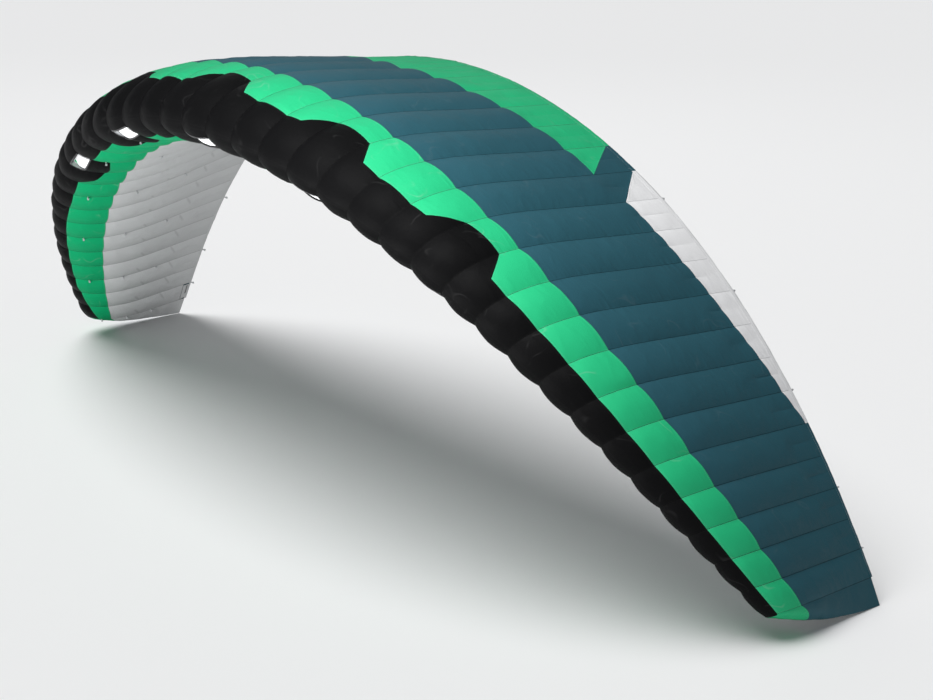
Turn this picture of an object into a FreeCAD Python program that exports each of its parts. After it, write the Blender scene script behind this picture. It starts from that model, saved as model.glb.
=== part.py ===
# Parafoil kite with closed cells: a sewn canopy of fabric panels, ribs and battens,
# with one-way intake valves in the nose, drain flaps at the tips and loops for its bridle.
# Millimetres and radians. X runs along the span, -Y to the leading edge, +Z up.
import FreeCAD
import Part
import math
import os
from functools import lru_cache
from FreeCAD import Vector

os.makedirs("parts", exist_ok=True)

# Span and plan shape. A station is a signed share of the half span along the arc.
halfSpan = 4000.0        # centre line to end rib, along the arc
rootChord = 1794.0       # nose to trailing edge at the centre
tipTaper = 800.0         # chord lost by the end rib, as the square of the station
tipCurl = 192.0          # more chord lost, as its fourth power
noseSweep = 1052.0       # how far the nose moves back at the end rib, as the square
noseCurl = 101.0         # and as the fourth power
arcTurn = 1.2757         # how fast the arc turns at the centre, radians per station
arcEase = 0.2075         # how much less it turns towards the tips
washIn = 0.1134          # twist of the end rib
twistPivot = 0.12        # where along the chord the twist turns
tipReach = 146.0         # how far the tip stands out past the end rib
tipFront = 0.03          # where along the end rib the tip starts
tipRise = 0.4            # how fast its reach grows behind that, as a power
tipBlunt = 0.01          # keeps its front end from being a point, as a share of the chord
tipUpper = 1.2           # its outer edge above the middle, in half skins
tipUnder = 0.2           # and the same edge's lower side

# Cells. Ribs stand at whole numbers and a half, counted from the centre line.
lastRib = 19.5           # 39 cells between the end ribs, and one closing cell at each tip
lastCell = 19
cellCrowd = 0.1365       # how much narrower the cells get towards the tips
billow = 0.09            # height of a cell's bulge, as a share of its width
loadedRibs = [1.5, 4.5, 7.5, 10.5, 13.5, 16.5, 19.5]   # the ribs that carry loops

# Section: chord line nose down, with a swell above and below it.
noseDrop = 0.0853
upperSwell = [0.380, 0.280, 0.150, 0.155]
lowerSwell = [0.2725, 0.298, 0.187, 0.145]

# Where panels meet along the chord, as shares of it at the centre and their loss at the tip.
upperNoseEnd = [0.089, 0.060]
lowerNoseEnd = [0.057, 0.027]
bandEnd = [0.245, 0.050]
tailEnd = 0.985          # where the skins stop and the trailing edge tape starts
ribEnd = 0.955           # where the ribs stop inside them
miniRibFront = 0.80      # where the mini-ribs start
pinchFront = 0.76        # where they start to pull the bulge down
pinchFull = 0.88         # and where they have split it into two
miniRibGap = 1.5         # between a mini-rib and the skins
mainPoints = 13          # points along a main panel, enough to follow that change
accentPoints = 9         # and along an accent panel

# Accents on the upper skin at the trailing edge.
greenAccentStart = 0.712
greenAccentRise = 0.016
whiteAccentStart = 0.826
whiteAccentRise = 0.0190
accentSplit = 6.5        # rib where the green accent ends and the white one starts
accentTip = 14.5         # rib where the white accent runs out

# Fabric, tapes and clearances. Skins are thicker than real cloth, so that they are solids.
skinThick = 1.5
ribThick = 1.0
seamGap = 0.5            # half the gap that a seam leaves between two panels
sewnGap = 0.6            # between a skin and what is sewn inside it
tapeThick = 4.0

# Intakes, in the lower nose of five cells, each with a valve flap behind it.
intakeCells = [-8, -4, 0, 4, 8]
intakeNames = ["left_outer", "left_inner", "centre", "right_inner", "right_outer"]
intakeStart = 0.012
intakeEnd = 0.050
lipEnd = 0.080           # rear edge of the lip behind the opening
hemFront = 0.006         # how far the hems reach past the opening, as shares of the chord
hemRear = 0.008
hemEdge = 0.0005         # from the opening to the hem
hemSideGap = 3.0
hemThick = 1.2
valveInset = 26.0        # how far inside the skin the flap lies when shut
valveThick = 1.2
valveLap = 14.0          # how far the flap reaches past the rear edge of the opening
valveSideGap = 12.0      # between the flap and the ribs beside it
hingeStrip = 8.0
hingeGap = 2.2           # between the strip and the flap, so that the flap can turn

# Ribs' cross ports and battens
portShares = [0.16, 0.27, 0.39, 0.52, 0.66]
portFill = 0.30          # port radius as a share of the section's height there
battenWide = 2.5
battenInset = 9.0
battenUpperEnd = 0.13
battenLowerEnd = 0.075
pocketWall = 0.8
pocketLap = 3.0          # how far a pocket is wider than its batten on each side
pocketShort = 0.05       # how much sooner it ends, radians
battenPlay = 0.3

# Sloping ribs
slopeDepth = 3.0         # from the skin to their sewn edges
slopeAside = 5.0         # from a rib to the sewn edge beside it
slopeFoot = 0.02         # half width at the loop, radians
slopeHead = 0.08         # half width at the top of the next rib
slopeBack = 0.03         # how much further back the head stands, as a share of the chord

# Line attachment loops, hanging below the lower skin at the loaded ribs
loopRows = {"front": 0.11, "middle": 0.34, "rear": 0.60}
loopHole = 5.0           # radius of the eye that a line goes through
loopWall = 1.8
loopWide = 8.0
loopDrop = 16.0          # from the skin to the centre of the eye
loopStandOff = 1.5       # from the seam to the foot of the loop, clear of the bulges beside it
brakeRibs = [7.5, 10.5, 13.5, 16.5, 18.5]
brakeDip = 0.6           # how much the brake loops' stems drop for each step back
webbingLong = 110.0
webbingWide = 26.0
webbingThick = 0.8
webbingClear = 4.0       # from the skin up to the webbing's foot
webbingTaper = 0.4       # its foot's width as a share of its top

# Drain flaps under the trailing edge of the last full cell on each side
drainStart = 0.925
drainSideGap = 10.0
drainClear = 2.0
drainDrop = 1.0          # from the skin line down to the flap
closureWide = 12.0
closureSide = 8.0        # how much shorter than the flap the closure is on each side
closureBack = 4.0        # from the flap's free edge to the closure


def shareOf(rib):
    # Signed station of a rib number. Numbers past the last rib go straight on.
    q = abs(rib) / lastRib
    share = q * (1.0 + cellCrowd * (1.0 - q * q))
    return math.copysign(share, rib)


@lru_cache(maxsize=None)
def arcPlace(share):
    # Where the arc is at a station from 0 up: sideways, up, and how far it leans.
    steps = 40
    h = share / steps
    across = 0.0
    down = 0.0
    for k in range(steps + 1):
        weight = 1 if k in (0, steps) else (4 if k % 2 else 2)
        lean = arcTurn * k * h - arcEase * (k * h) ** 3
        across += weight * math.cos(lean)
        down += weight * math.sin(lean)
    lean = arcTurn * share - arcEase * share ** 3
    return halfSpan * across * h / 3.0, -halfSpan * down * h / 3.0, lean


def chordAt(share):
    return rootChord - tipTaper * share ** 2 - tipCurl * share ** 4


def noseAt(share):
    return noseSweep * share ** 2 + noseCurl * share ** 4


def swellAt(shape, v):
    a, b, c, d = shape
    w = 1.0 - v
    return a * w ** 3 + 3.0 * b * v * w * w + 3.0 * c * v * v * w + d * v ** 3


def profile(share, angle):
    # A section's outline. Angle 0 is the nose, pi the trailing edge over the upper side,
    # and a negative angle goes the lower way.
    v = 0.5 * (1.0 - math.cos(angle))
    shape = upperSwell if angle >= 0.0 else lowerSwell
    swell = math.sin(angle / 2.0) * (1.0 - v) * swellAt(shape, v)
    tilt = -washIn * share ** 2
    chord = chordAt(share)
    along = noseAt(share) + chord * v * math.cos(tilt)
    above = chord * (swell - noseDrop * (1.0 - v) + (v - twistPivot) * math.sin(tilt))
    return along, above


def angleOf(v, upper=True):
    angle = math.acos(1.0 - 2.0 * v)
    return angle if upper else -angle


def speedAt(share, angle):
    # Length of outline per radian, to turn a gap in millimetres into an angle.
    d = 0.01
    a = profile(share, angle - d)
    b = profile(share, angle + d)
    return math.hypot(b[0] - a[0], b[1] - a[1]) / (2.0 * d)


def outward(share, angle):
    d = 0.002
    a = profile(share, angle - d)
    b = profile(share, angle + d)
    length = math.hypot(b[0] - a[0], b[1] - a[1])
    return -(b[1] - a[1]) / length, (b[0] - a[0]) / length


def place(share, along, above):
    # From a section's own plane into the kite.
    x, z, lean = arcPlace(abs(share))
    side = -1.0 if share < 0.0 else 1.0
    return Vector(side * (x + above * math.sin(lean)), along, z + above * math.cos(lean))


def spanwise(share):
    # Unit vector square to the section, pointing to +X.
    lean = math.copysign(arcPlace(abs(share))[2], share)
    return Vector(math.cos(lean), 0.0, -math.sin(lean))


def onOutline(share, angle, depth):
    along, above = profile(share, angle)
    ny, nz = outward(share, angle)
    return place(share, along - ny * depth, above - nz * depth)


def cellWidth(cell):
    return halfSpan * (shareOf(cell + 0.5) - shareOf(cell - 0.5))


def lobes(cell, across, v):
    # One bulge per cell, or two where a mini-rib holds its middle down.
    one = 4.0 * across * (1.0 - across)
    if abs(cell) == lastCell:
        return one
    half = (2.0 * across) % 1.0
    two = 2.0 * half * (1.0 - half)
    t = min(max((v - pinchFront) / (pinchFull - pinchFront), 0.0), 1.0)
    t = t * t * (3.0 - 2.0 * t)
    return one + (two - one) * t


def skinPoint(cell, across, angle, depth):
    # A point of a cell's skin, across it from 0 to 1, with the bulge that air gives it.
    inner = shareOf(cell - 0.5)
    outer = shareOf(cell + 0.5)
    share = inner + (outer - inner) * across
    v = 0.5 * (1.0 - math.cos(angle))
    bulge = billow * (1.0 - v ** 6) * cellWidth(cell) * lobes(cell, across, v)
    return onOutline(share, angle, depth - bulge)


def spread(start, end, count):
    return [start + (end - start) * k / (count - 1) for k in range(count)]


def curve(points):
    # Every curve of one loft uses the same even parameters, so that its surface stays light.
    spline = Part.BSplineCurve()
    spline.interpolate(Points=points, Parameters=spread(0.0, 1.0, len(points)))
    return spline.toShape()


def stripWire(outer, inner):
    back = list(reversed(inner))
    edges = [
        curve(outer),
        Part.makeLine(outer[-1], back[0]),
        curve(back),
        Part.makeLine(back[-1], outer[0]),
    ]
    return Part.Wire(edges)


def panel(cell, start, end, count, depth=0.0, thick=skinThick, sideGap=seamGap):
    # One cell's piece of cloth between two angles, as a solid.
    width = cellWidth(cell)
    edge = sideGap / width
    middle = shareOf(cell)
    angles = spread(
        start + seamGap / speedAt(middle, start),
        end - seamGap / speedAt(middle, end),
        count,
    )
    wires = []
    for across in spread(edge, 1.0 - edge, 5):
        outer = [skinPoint(cell, across, a, depth) for a in angles]
        inner = [skinPoint(cell, across, a, depth + thick) for a in angles]
        wires.append(stripWire(outer, inner))
    return Part.makeLoft(wires, True, False)


def endOf(limits, cell):
    return limits[0] - limits[1] * shareOf(cell) ** 2


def accentStart(cell):
    # Where the accent begins in a cell, or None where it has none.
    number = abs(cell)
    if number < accentSplit:
        return greenAccentStart + greenAccentRise * number
    if number < accentTip:
        return whiteAccentStart + whiteAccentRise * (number - accentSplit)
    return None


fullCells = range(-lastCell, lastCell + 1)
nodes = {}
mounts = []
hinges = []


def keep(name, solid):
    nodes.setdefault(name, []).append(solid)


def sideName(cell):
    if abs(cell) <= 6:
        return "centre"
    return "left" if cell < 0 else "right"


def buildUpperSkin():
    for cell in fullCells:
        noseEnd = angleOf(endOf(upperNoseEnd, cell))
        band = angleOf(endOf(bandEnd, cell))
        tail = angleOf(tailEnd)
        accent = accentStart(cell)
        keep("upper_nose_panels", panel(cell, 0.0, noseEnd, 4))
        keep("upper_band_panels", panel(cell, noseEnd, band, 4))
        mainEnd = tail if accent is None else angleOf(accent)
        keep("upper_main_panels_" + sideName(cell), panel(cell, band, mainEnd, mainPoints))
        if accent is not None:
            colour = "green" if abs(cell) < accentSplit else "white"
            keep("upper_accent_" + colour, panel(cell, mainEnd, tail, accentPoints))


def buildLowerSkin():
    for cell in fullCells:
        noseEnd = angleOf(endOf(lowerNoseEnd, cell), False)
        band = angleOf(endOf(bandEnd, cell), False)
        rear = drainStart if abs(cell) == lastCell else tailEnd
        tail = angleOf(rear, False)
        if cell in intakeCells:
            keep("intake_lips", panel(cell, angleOf(intakeStart, False), 0.0, 4))
            back = angleOf(intakeEnd, False)
            noseEnd = angleOf(lipEnd, False)
            keep("intake_lips", panel(cell, noseEnd, back, 4))
        else:
            keep("lower_nose_panels", panel(cell, noseEnd, 0.0, 4))
        keep("lower_band_panels", panel(cell, band, noseEnd, 4))
        keep("lower_main_panels_" + sideName(cell), panel(cell, tail, band, mainPoints))


def tipPoint(side, v, reach):
    # On the tip's edge, which leaves the end rib behind the nose and grows backwards.
    x, z, lean = arcPlace(1.0)
    upper = profile(1.0, angleOf(v))
    lower = profile(1.0, angleOf(v, False))
    above = 0.5 * (upper[1] + lower[1])
    x += above * math.sin(lean) + reach * math.cos(lean)
    z += above * math.cos(lean) - reach * math.sin(lean)
    return Vector(side * x, upper[0], z)


def tipReachAt(v):
    return tipReach * (v - tipFront + tipBlunt) ** tipRise


def buildTips():
    for side, word in ((-1, "left"), (1, "right")):
        for upper in (True, False):
            wires = []
            for v in spread(tipFront, tailEnd, 7):
                angle = angleOf(v, upper)
                root = onOutline(side * 1.0, angle, 0.0)
                below = onOutline(side * 1.0, angle, skinThick)
                edge = tipPoint(side, v, tipReachAt(v))
                lift = (root - below) * 0.5
                aside = spanwise(side * 1.0) * (side * (seamGap + ribThick))
                corners = [root + aside, edge + lift * tipUpper, edge + lift * tipUnder, below + aside]
                wires.append(Part.makePolygon(corners + corners[:1]))
            keep("tip_cap_" + word, Part.makeLoft(wires, True, True))


def outlineWire(share, depth, start, end, count):
    # The inside outline of a section, closed by a straight line behind.
    angles = spread(start, end, count)
    points = [onOutline(share, a, depth) for a in angles]
    return Part.Wire([curve(points), Part.makeLine(points[-1], points[0])])


def heightAt(share, v):
    return profile(share, angleOf(v))[1] - profile(share, angleOf(v, False))[1]


def port(share, v):
    # A round cross port in a rib, half way up the section.
    upper = profile(share, angleOf(v))
    lower = profile(share, angleOf(v, False))
    centre = place(share, upper[0], 0.5 * (upper[1] + lower[1]))
    radius = portFill * heightAt(share, v)
    normal = spanwise(share)
    return Part.makeCylinder(radius, ribThick * 8.0, centre - normal * (ribThick * 4.0), normal)


def plate(share, wire, thick, offset=0.0):
    # A flat piece in a section's plane, its middle offset from that plane.
    normal = spanwise(share)
    face = Part.Face(wire)
    face.translate(normal * (offset - thick / 2.0))
    return face.extrude(normal * thick)


def buildRibs():
    depth = skinThick + sewnGap
    for number in range(1, lastCell + 2):
        for side in (-1, 1):
            rib = side * (number - 0.5)
            share = shareOf(rib)
            outline = outlineWire(share, depth, angleOf(ribEnd, False), angleOf(ribEnd), 31)
            solid = plate(share, outline, ribThick)
            if number <= lastCell:
                solid = solid.cut([port(share, v) for v in portShares]).Solids[0]
            if number > lastCell:
                name = "end_ribs"
            elif abs(rib) in loadedRibs:
                name = "loaded_ribs"
            else:
                name = "plain_ribs"
            keep(name, solid)


def bandWire(share, depth, thick, start, end, count):
    # A flat strip that follows the inside of a section.
    angles = spread(start, end, count)
    outer = [onOutline(share, a, depth) for a in angles]
    inner = [onOutline(share, a, depth + thick) for a in angles]
    return stripWire(outer, inner)


def buildBattens():
    start = angleOf(battenLowerEnd, False)
    end = angleOf(battenUpperEnd)
    offset = ribThick / 2.0 + battenPlay + battenWide / 2.0
    for number in range(1, lastCell + 1):
        for side in (-1, 1):
            share = shareOf(side * (number - 0.5))
            strip = bandWire(share, battenInset, battenWide, start, end, 11)
            keep("nose_battens", plate(share, strip, battenWide, side * offset))
            wide = battenWide + 2.0 * pocketLap
            first = start + pocketShort
            last = end - pocketShort
            cover = bandWire(share, battenInset - pocketLap, wide, first, last, 11)
            out = offset + battenWide / 2.0 + battenPlay + pocketWall / 2.0
            keep("batten_pockets", plate(share, cover, pocketWall, side * out))


def diagonal(rib, neighbour, low):
    # A sloping rib, from a short foot at a loaded rib's loop to the top of the next rib.
    a = shareOf(rib)
    b = shareOf(neighbour)
    toward = 1.0 if b > a else -1.0
    depth = skinThick + slopeDepth
    aside = toward * (ribThick / 2.0 + slopeAside)
    footAngle = angleOf(low, False)
    headAngle = angleOf(low + slopeBack)
    foot = [onOutline(a, footAngle + d, depth) + spanwise(a) * aside for d in (slopeFoot, -slopeFoot)]
    head = [onOutline(b, headAngle + d, depth) - spanwise(b) * aside for d in (-slopeHead, slopeHead)]
    face = Part.makeRuledSurface(Part.makeLine(foot[0], foot[1]), Part.makeLine(head[0], head[1]))
    normal = (foot[1] - foot[0]).cross(head[0] - foot[0]).normalize()
    return face.extrude(normal * ribThick)


def buildDiagonals():
    for row, low in loopRows.items():
        for loaded in loadedRibs:
            for side in (-1, 1):
                for step in (-1, 1):
                    neighbour = side * (loaded + step)
                    if abs(neighbour) > lastRib:
                        continue
                    keep("diagonal_ribs_" + row, diagonal(side * loaded, neighbour, low))


def buildMiniRibs():
    # Short ribs half way across each cell, which flatten the trailing edge.
    depth = skinThick + miniRibGap
    for cell in fullCells:
        if abs(cell) == lastCell:
            continue
        share = 0.5 * (shareOf(cell - 0.5) + shareOf(cell + 0.5))
        high = spread(angleOf(miniRibFront), angleOf(ribEnd), 5)
        upper = [skinPoint(cell, 0.5, a, depth) for a in high]
        low = spread(angleOf(ribEnd, False), angleOf(miniRibFront, False), 5)
        lower = [skinPoint(cell, 0.5, a, depth) for a in low]
        edges = [
            curve(upper),
            Part.makeLine(upper[-1], lower[0]),
            curve(lower),
            Part.makeLine(lower[-1], upper[0]),
        ]
        keep("mini_ribs", plate(share, Part.Wire(edges), ribThick))


def buildTrailingTape():
    # A folded tape that closes the skins along the trailing edge, one length per cell.
    for cell in fullCells:
        wires = []
        for across in (seamGap / cellWidth(cell), 0.5, 1.0 - seamGap / cellWidth(cell)):
            share = shareOf(cell - 0.5) + (shareOf(cell + 0.5) - shareOf(cell - 0.5)) * across
            front = tailEnd + 1.0 / chordAt(share)
            top = profile(share, angleOf(front))
            low = profile(share, angleOf(front, False))
            end = profile(share, math.pi)
            corners = [
                place(share, top[0], top[1]),
                place(share, end[0], end[1] + tapeThick / 4.0),
                place(share, end[0], end[1] - tapeThick / 4.0),
                place(share, low[0], low[1]),
            ]
            wires.append(Part.makePolygon(corners + corners[:1]))
        keep("trailing_edge_tape", Part.makeLoft(wires, True, True))


def flatAcross(cell, across, v, depth):
    # A point behind an intake on the straight line between the two ribs' outlines.
    a = onOutline(shareOf(cell - 0.5), angleOf(v, False), depth)
    b = onOutline(shareOf(cell + 0.5), angleOf(v, False), depth)
    return a + (b - a) * across


def valveFrame(cell):
    # The hinge line of a valve, the way it runs, and the way back along the flap.
    mid = shareOf(cell)
    span = spanwise(mid)
    hinge = flatAcross(cell, 0.5, intakeStart, valveInset)
    rear = flatAcross(cell, 0.5, intakeEnd, valveInset)
    back = rear - hinge
    back = back - span * back.dot(span)
    length = back.Length + valveLap
    back.normalize()
    return hinge, span, back, length


def buildIntakes():
    for cell, word in zip(intakeCells, intakeNames):
        hinge, span, back, length = valveFrame(cell)
        half = cellWidth(cell) / 2.0 - valveSideGap
        up = span.cross(back)
        if up.z < 0.0:
            up = up * -1.0
        corners = [
            hinge - span * half,
            hinge + span * half,
            hinge + span * half + back * length,
            hinge - span * half + back * length,
        ]
        face = Part.Face(Part.makePolygon(corners + corners[:1]))
        keep("intake_valve_" + word, face.extrude(up * valveThick))
        # the strip that sews the flap's front edge to the cell, just ahead of the hinge
        strip = [
            hinge - span * half - back * (hingeStrip + hingeGap),
            hinge + span * half - back * (hingeStrip + hingeGap),
            hinge + span * half - back * hingeGap,
            hinge - span * half - back * hingeGap,
        ]
        face = Part.Face(Part.makePolygon(strip + strip[:1]))
        keep("valve_hinge_strips", face.extrude(up * valveThick))
        # hems inside both edges of the opening
        ahead = (intakeStart - hemFront, intakeStart - hemEdge)
        behind = (intakeEnd + hemEdge, intakeEnd + hemRear)
        for start, end in (ahead, behind):
            first = angleOf(end, False)
            last = angleOf(start, False)
            keep("intake_hems", panel(cell, first, last, 4, skinThick + sewnGap, hemThick, hemSideGap))
        hinges.append(("valve_" + word, hinge, back.cross(up)))


def eyeLoop(top, outVec, axis):
    # A webbing loop: a round eye along the axis, with a stem back to where it is sewn in.
    centre = top + outVec * loopDrop
    stem = axis.cross(outVec).normalize() * loopWall
    foot = centre - outVec * (loopHole + loopWall / 2.0)
    start = top + outVec * loopStandOff
    half = axis * (loopWide / 2.0)
    ring = Part.makeCylinder(loopHole + loopWall, loopWide, centre - half, axis)
    corners = [foot - stem, foot + stem, start + stem, start - stem]
    face = Part.Face(Part.makePolygon(corners + corners[:1]))
    face.translate(half * -1.0)
    hole = Part.makeCylinder(loopHole, loopWide * 3.0, centre - half * 3.0, axis)
    solid = ring.fuse(face.extrude(axis * loopWide)).cut(hole).removeSplitter().Solids[0]
    return solid, centre


def buildLoops():
    for row, v in loopRows.items():
        angle = angleOf(v, False)
        for loaded in loadedRibs:
            for side in (-1, 1):
                share = shareOf(side * loaded)
                top = onOutline(share, angle, 0.0)
                outVec = (onOutline(share, angle, -loopDrop) - top).normalize()
                axis = spanwise(share).cross(outVec).normalize()
                solid, centre = eyeLoop(top, outVec, axis)
                keep("line_loops_" + row, solid)
                mounts.append((row, side * loaded, centre, axis))
                # webbing that carries the loop's pull up the rib
                depth = skinThick + webbingClear
                foot = onOutline(share, angle, depth)
                long = min(webbingLong, 0.5 * heightAt(share, v))
                tip = foot - outVec * long
                wide = axis * (webbingWide / 2.0)
                narrow = wide * webbingTaper
                corners = [foot - narrow, foot + narrow, tip + wide, tip - wide]
                wire = Part.makePolygon(corners + corners[:1])
                offset = -side * (ribThick / 2.0 + battenPlay + webbingThick / 2.0)
                keep("rib_webbing_" + row, plate(share, wire, webbingThick, offset))


def buildBrakeLoops():
    for loaded in brakeRibs:
        for side in (-1, 1):
            share = shareOf(side * loaded)
            end = profile(share, math.pi)
            top = place(share, end[0], end[1])
            outVec = place(share, end[0] + 1.0, end[1] - brakeDip) - top
            solid, centre = eyeLoop(top, outVec.normalize(), spanwise(share))
            keep("brake_loops", solid)
            mounts.append(("brake", side * loaded, centre, spanwise(share)))


def buildDrains():
    for side, word in ((-1, "left"), (1, "right")):
        # the flap hangs from the rear edge of the panel in front of it
        cell = side * lastCell
        first = flatAcross(cell, 0.0, drainStart, 0.0)
        last = flatAcross(cell, 1.0, drainStart, 0.0)
        front = (first + last) * 0.5
        span = last - first
        half = span.Length / 2.0 - drainSideGap
        span.normalize()
        back = flatAcross(cell, 0.5, tailEnd, 0.0) - front
        free = back.Length - 3.0 * drainClear
        back.normalize()
        down = span.cross(back).normalize()
        if down.z > 0.0:
            down = down * -1.0
        hinge = front + back * drainClear + down * drainDrop
        corners = [
            hinge - span * half,
            hinge + span * half,
            hinge + span * half + back * free,
            hinge - span * half + back * free,
        ]
        face = Part.Face(Part.makePolygon(corners + corners[:1]))
        keep("drain_flap_" + word, face.extrude(down * skinThick))
        turn = span if back.cross(down).dot(span) > 0.0 else span * -1.0
        hinges.append(("drain_" + word, hinge, turn))
        reach = half - closureSide
        far = free - closureBack
        near = far - closureWide
        strip = [
            hinge - span * reach + back * near,
            hinge + span * reach + back * near,
            hinge + span * reach + back * far,
            hinge - span * reach + back * far,
        ]
        face = Part.Face(Part.makePolygon(strip + strip[:1]))
        keep("drain_closure_" + word, face.extrude(down * -1.0))


buildUpperSkin()
buildLowerSkin()
buildTips()
buildRibs()
buildBattens()
buildDiagonals()
buildMiniRibs()
buildTrailingTape()
buildIntakes()
buildLoops()
buildBrakeLoops()
buildDrains()

# The origin is the middle of the kite's box, at the height of its lowest point.
box = FreeCAD.BoundBox()
for solids in nodes.values():
    for solid in solids:
        box.add(solid.optimalBoundingBox(False, False))
shift = Vector(0.0, -0.5 * (box.YMin + box.YMax), -box.ZMin)
print("shift", shift, "box", box.XLength, box.YLength, box.ZLength)
for row, rib, centre, axis in mounts:
    print("mount", row, rib, *(centre + shift), *axis)
for word, point, axis in hinges:
    print("hinge", word, *(point + shift), *axis)
for name, solids in nodes.items():
    shape = Part.makeCompound(solids) if len(solids) > 1 else solids[0]
    shape.translate(shift)
    bad = [k for k, solid in enumerate(shape.Solids) if not solid.isValid() or solid.Volume <= 0.0]
    print(name, len(shape.Solids), "solids", round(shape.Volume / 1000.0, 1), "cm3", "bad" if bad else "", bad)
    shape.exportStep("parts/" + name + ".step")
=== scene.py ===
import math
import bmesh
import bpy
import numpy as np
from mathutils import Matrix, Vector


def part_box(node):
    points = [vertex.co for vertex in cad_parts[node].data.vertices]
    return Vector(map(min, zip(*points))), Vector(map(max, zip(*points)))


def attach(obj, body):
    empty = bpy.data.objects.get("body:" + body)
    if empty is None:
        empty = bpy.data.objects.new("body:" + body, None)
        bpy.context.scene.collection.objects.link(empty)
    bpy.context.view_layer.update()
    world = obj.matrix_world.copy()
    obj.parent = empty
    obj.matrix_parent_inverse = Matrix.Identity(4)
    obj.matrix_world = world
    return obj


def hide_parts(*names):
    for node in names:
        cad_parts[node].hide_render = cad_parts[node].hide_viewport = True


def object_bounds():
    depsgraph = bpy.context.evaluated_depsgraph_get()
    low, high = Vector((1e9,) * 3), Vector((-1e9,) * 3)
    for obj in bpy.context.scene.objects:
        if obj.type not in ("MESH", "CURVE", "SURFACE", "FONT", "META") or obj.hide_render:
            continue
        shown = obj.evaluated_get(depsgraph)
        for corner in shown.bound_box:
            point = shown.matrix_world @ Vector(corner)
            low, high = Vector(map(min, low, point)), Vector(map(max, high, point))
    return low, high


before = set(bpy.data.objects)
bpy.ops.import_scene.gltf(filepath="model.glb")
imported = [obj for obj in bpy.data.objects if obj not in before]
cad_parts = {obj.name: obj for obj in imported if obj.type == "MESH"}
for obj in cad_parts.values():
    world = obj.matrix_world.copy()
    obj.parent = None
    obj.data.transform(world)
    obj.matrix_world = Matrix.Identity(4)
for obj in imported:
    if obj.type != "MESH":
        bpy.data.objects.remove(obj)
boxLow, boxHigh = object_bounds()
rng = np.random.default_rng(39)

# The canopy's own shape, in metres and radians. A station is a share of the half span,
# a rib coordinate c runs from -19.5 to 19.5, and the ribs stand at the halves.
kite = {
    "halfSpan": 4.0, "rootChord": 1.794, "tipTaper": 0.8, "tipCurl": 0.192,
    "noseSweep": 1.052, "noseCurl": 0.101, "arcTurn": 1.2757, "arcEase": 0.2075,
    "washIn": 0.1134, "twistPivot": 0.12, "lastRib": 19.5, "cellCrowd": 0.1365,
    "billow": 0.09, "noseDrop": 0.0853, "upperSwell": (0.380, 0.280, 0.150, 0.155),
    "lowerSwell": (0.2725, 0.298, 0.187, 0.145), "tailEnd": 0.985,
    "noseRun": 0.144, "pinchFront": 0.76, "pinchFull": 0.88, "tipReach": 0.146,
    "drainCell": 19, "drainFront": 0.84, "drainFull": 0.92, "drainHinge": 0.925,
}
colours = {
    "black": (0.0042, 0.0042, 0.0045), "green": (0.022, 0.49, 0.208), "petrol": (0.026, 0.100, 0.131),
    "white": (0.92, 0.92, 0.925), "pale": (0.52, 0.525, 0.53), "tape": (0.02, 0.02, 0.022),
    # the green cloth again, darker: a copy in painted shade for the lower side
    "lowerGreen": (0.006, 0.33, 0.13), "valve": (0.93, 0.94, 0.95),
}


def shareOf(rib):
    q = rib / kite["lastRib"]
    return q * (1.0 + kite["cellCrowd"] * (1.0 - q * q))


def leanAt(size):
    return kite["arcTurn"] * size - kite["arcEase"] * size ** 3


arcSteps = np.linspace(0.0, 1.05, 6001)
arcLean = leanAt(arcSteps)
arcStep = kite["halfSpan"] * (arcSteps[1] - arcSteps[0])


def addedUp(slope):
    return np.concatenate(([0.0], np.cumsum((slope[1:] + slope[:-1]) / 2.0))) * arcStep


arcX = addedUp(np.cos(arcLean))
arcZ = -addedUp(np.sin(arcLean))


def chordAt(share):
    return kite["rootChord"] - kite["tipTaper"] * share ** 2 - kite["tipCurl"] * share ** 4


def noseAt(share):
    return kite["noseSweep"] * share ** 2 + kite["noseCurl"] * share ** 4


def swellAt(shape, v):
    a, b, c, d = shape
    w = 1.0 - v
    return a * w ** 3 + 3.0 * b * v * w * w + 3.0 * c * v * v * w + d * v ** 3


def section(share, angle):
    # outline of one section: angle 0 is the nose, and negative angles go the lower way
    v = 0.5 * (1.0 - np.cos(angle))
    swell = np.where(angle >= 0.0, swellAt(kite["upperSwell"], v), swellAt(kite["lowerSwell"], v))
    swell = np.sin(angle / 2.0) * (1.0 - v) * swell
    tilt = -kite["washIn"] * share ** 2
    chord = chordAt(share)
    along = noseAt(share) + chord * v * np.cos(tilt)
    above = chord * (swell - kite["noseDrop"] * (1.0 - v) + (v - kite["twistPivot"]) * np.sin(tilt))
    return along, above


def angleOf(v, upper):
    angle = np.arccos(np.clip(1.0 - 2.0 * np.asarray(v, float), -1.0, 1.0))
    return angle if upper else -angle


def place(share, along, above):
    size = np.abs(share)
    side = np.where(share < 0.0, -1.0, 1.0)
    x = np.interp(size, arcSteps, arcX)
    z = np.interp(size, arcSteps, arcZ)
    lean = leanAt(size)
    parts = (side * (x + above * np.sin(lean)), along + shift[0], z + above * np.cos(lean) + shift[1])
    return np.stack(np.broadcast_arrays(*parts), axis=-1)


def onOutline(share, angle, lift):
    along, above = section(share, angle)
    ahead, high = section(share, angle + 0.002)
    behind, low = section(share, angle - 0.002)
    run = np.hypot(ahead - behind, high - low)
    return place(share, along - (high - low) / run * lift, above + (ahead - behind) / run * lift)


def cellOf(c):
    # cell number, place across it from 0 to 1, its width and the station
    cell = np.clip(np.round(c), -kite["drainCell"], kite["drainCell"])
    across = c - cell + 0.5
    inner, outer = shareOf(cell - 0.5), shareOf(cell + 0.5)
    return cell, across, kite["halfSpan"] * (outer - inner), inner + (outer - inner) * across


def smooth(x, start, end):
    t = np.clip((x - start) / (end - start), 0.0, 1.0)
    return t * t * (3.0 - 2.0 * t)


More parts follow.
